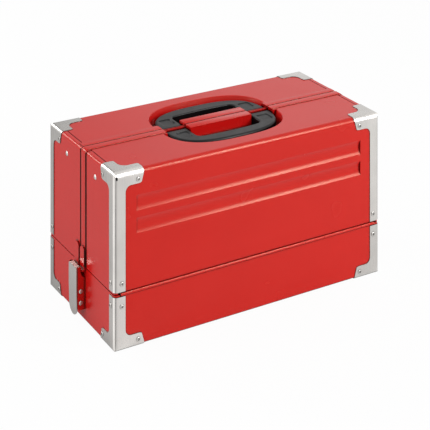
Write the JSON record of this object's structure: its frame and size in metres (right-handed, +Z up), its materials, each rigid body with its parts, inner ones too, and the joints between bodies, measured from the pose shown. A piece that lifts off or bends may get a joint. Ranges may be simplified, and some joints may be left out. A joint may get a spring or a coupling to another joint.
{
  "type": "cantilever tool box",
  "caption": "Sheet metal tool box with two outward opening lids, linked lift-out trays, corner brackets, end latches and twin fold-flat handles.",
  "frame": {"origin": "centre of the footprint at the underside of the base", "axes": "+X along the length towards the right end, -Y towards the front lid, +Z up"},
  "size_m": [0.456, 0.2138, 0.2353],
  "materials": {
    "red_paint": "semi-gloss baked enamel",
    "satin_steel": "satin nickel plated",
    "zinc_steel": "bright zinc plated",
    "black_plastic": "moulded, fine grain"
  },
  "bodies": {
    "base": {"base_pan": "red_paint", "base_corner_front_left": "satin_steel", "base_corner_front_right": "satin_steel", "base_corner_rear_left": "satin_steel", "base_corner_rear_right": "satin_steel", "base_rivets": "satin_steel", "base_hinge_leaves": "red_paint", "hinge_pins": "zinc_steel", "base_studs": "zinc_steel", "latch_bracket_left": "red_paint", "latch_bracket_right": "red_paint", "latch_pins": "satin_steel"},
    "left_latch_lever": {"latch_lever_left": "satin_steel"},
    "right_latch_lever": {"latch_lever_right": "satin_steel"},
    "front_lid": {"front_lid_shell": "red_paint", "front_lid_end_left": "red_paint", "front_lid_end_right": "red_paint", "front_lid_frame": "red_paint", "front_lid_corner_left": "satin_steel", "front_lid_corner_right": "satin_steel", "front_lid_rivets": "satin_steel", "front_lid_hinge_leaf": "red_paint", "front_catches": "red_paint", "front_handle_pins": "zinc_steel", "front_link_rivets": "satin_steel"},
    "front_handle": {"front_handle": "black_plastic"},
    "front_outer_arms": {"front_outer_arms": "zinc_steel"},
    "front_inner_arms": {"front_inner_arms": "zinc_steel"},
    "front_links": {"front_links": "zinc_steel"},
    "front_upper_tray": {"front_upper_tray": "red_paint", "front_upper_tray_pins": "zinc_steel", "front_dividers": "red_paint"},
    "front_lower_tray": {"front_lower_tray": "red_paint", "front_lower_tray_pins": "zinc_steel"},
    "rear_lid": {"rear_lid_shell": "red_paint", "rear_lid_end_left": "red_paint", "rear_lid_end_right": "red_paint", "rear_lid_frame": "red_paint", "rear_lid_corner_left": "satin_steel", "rear_lid_corner_right": "satin_steel", "rear_lid_rivets": "satin_steel", "rear_lid_hinge_leaf": "red_paint", "rear_catches": "red_paint", "rear_handle_pins": "zinc_steel", "rear_link_rivets": "satin_steel"},
    "rear_handle": {"rear_handle": "black_plastic"},
    "rear_outer_arms": {"rear_outer_arms": "zinc_steel"},
    "rear_inner_arms": {"rear_inner_arms": "zinc_steel"},
    "rear_links": {"rear_links": "zinc_steel"},
    "rear_upper_tray": {"rear_upper_tray": "red_paint", "rear_upper_tray_pins": "zinc_steel", "rear_dividers": "red_paint"},
    "rear_lower_tray": {"rear_lower_tray": "red_paint", "rear_lower_tray_pins": "zinc_steel"}
  },
  "joints": [
    {"name": "front_lid_hinge", "type": "hinge", "parent": "base", "child": "front_lid", "pos_m": [0, -0.1048, 0.074], "axis": [1, 0, 0], "range_deg": [0, 60]},
    {"name": "front_handle_hinge", "type": "hinge", "parent": "front_lid", "child": "front_handle", "pos_m": [0, -0.0085, 0.2246], "axis": [-1, 0, 0], "range_deg": [0, 90]},
    {"name": "front_outer_arm_hinge", "type": "hinge", "parent": "base", "child": "front_outer_arms", "pos_m": [0, -0.0748, 0.062], "axis": [1, 0, 0], "range_deg": [0, 60]},
    {"name": "front_inner_arm_hinge", "type": "hinge", "parent": "base", "child": "front_inner_arms", "pos_m": [0, -0.0548, 0.062], "axis": [1, 0, 0], "range_deg": [0, 60]},
    {"name": "front_link_hinge", "type": "hinge", "parent": "front_lid", "child": "front_links", "pos_m": [0, -0.046, 0.209], "axis": [1, 0, 0], "range_deg": [-60, 0]},
    {"name": "front_upper_tray_hinge", "type": "hinge", "parent": "front_outer_arms", "child": "front_upper_tray", "pos_m": [0, -0.03364, 0.1565], "axis": [1, 0, 0], "range_deg": [-60, 0]},
    {"name": "front_lower_tray_hinge", "type": "hinge", "parent": "front_outer_arms", "child": "front_lower_tray", "pos_m": [0, -0.0554, 0.10655], "axis": [1, 0, 0], "range_deg": [-60, 0]},
    {"name": "rear_lid_hinge", "type": "hinge", "parent": "base", "child": "rear_lid", "pos_m": [0, 0.1048, 0.074], "axis": [-1, 0, 0], "range_deg": [0, 60]},
    {"name": "rear_handle_hinge", "type": "hinge", "parent": "rear_lid", "child": "rear_handle", "pos_m": [0, 0.0085, 0.2246], "axis": [1, 0, 0], "range_deg": [0, 90]},
    {"name": "rear_outer_arm_hinge", "type": "hinge", "parent": "base", "child": "rear_outer_arms", "pos_m": [0, 0.0748, 0.062], "axis": [-1, 0, 0], "range_deg": [0, 60]},
    {"name": "rear_inner_arm_hinge", "type": "hinge", "parent": "base", "child": "rear_inner_arms", "pos_m": [0, 0.0548, 0.062], "axis": [-1, 0, 0], "range_deg": [0, 60]},
    {"name": "rear_link_hinge", "type": "hinge", "parent": "rear_lid", "child": "rear_links", "pos_m": [0, 0.046, 0.209], "axis": [-1, 0, 0], "range_deg": [-60, 0]},
    {"name": "rear_upper_tray_hinge", "type": "hinge", "parent": "rear_outer_arms", "child": "rear_upper_tray", "pos_m": [0, 0.03364, 0.1565], "axis": [-1, 0, 0], "range_deg": [-60, 0]},
    {"name": "rear_lower_tray_hinge", "type": "hinge", "parent": "rear_outer_arms", "child": "rear_lower_tray", "pos_m": [0, 0.0554, 0.10655], "axis": [-1, 0, 0], "range_deg": [-60, 0]},
    {"name": "left_latch_hinge", "type": "hinge", "parent": "base", "child": "left_latch_lever", "pos_m": [-0.2216, 0, 0.0268], "axis": [0, -1, 0], "range_deg": [0, 28], "stiffness_Nm_per_rad": 0.04, "springref_deg": -11.46},
    {"name": "right_latch_hinge", "type": "hinge", "parent": "base", "child": "right_latch_lever", "pos_m": [0.2216, 0, 0.0268], "axis": [0, 1, 0], "range_deg": [0, 28], "stiffness_Nm_per_rad": 0.04, "springref_deg": -11.46}
  ],
  "couplings": [
    {"joint": "front_outer_arm_hinge", "follows": "front_lid_hinge", "ratio": 1},
    {"joint": "front_inner_arm_hinge", "follows": "front_lid_hinge", "ratio": 1},
    {"joint": "front_link_hinge", "follows": "front_lid_hinge", "ratio": -1},
    {"joint": "front_upper_tray_hinge", "follows": "front_lid_hinge", "ratio": -1},
    {"joint": "front_lower_tray_hinge", "follows": "front_lid_hinge", "ratio": -1},
    {"joint": "rear_outer_arm_hinge", "follows": "rear_lid_hinge", "ratio": 1},
    {"joint": "rear_inner_arm_hinge", "follows": "rear_lid_hinge", "ratio": 1},
    {"joint": "rear_link_hinge", "follows": "rear_lid_hinge", "ratio": -1},
    {"joint": "rear_upper_tray_hinge", "follows": "rear_lid_hinge", "ratio": -1},
    {"joint": "rear_lower_tray_hinge", "follows": "rear_lid_hinge", "ratio": -1}
  ]
}
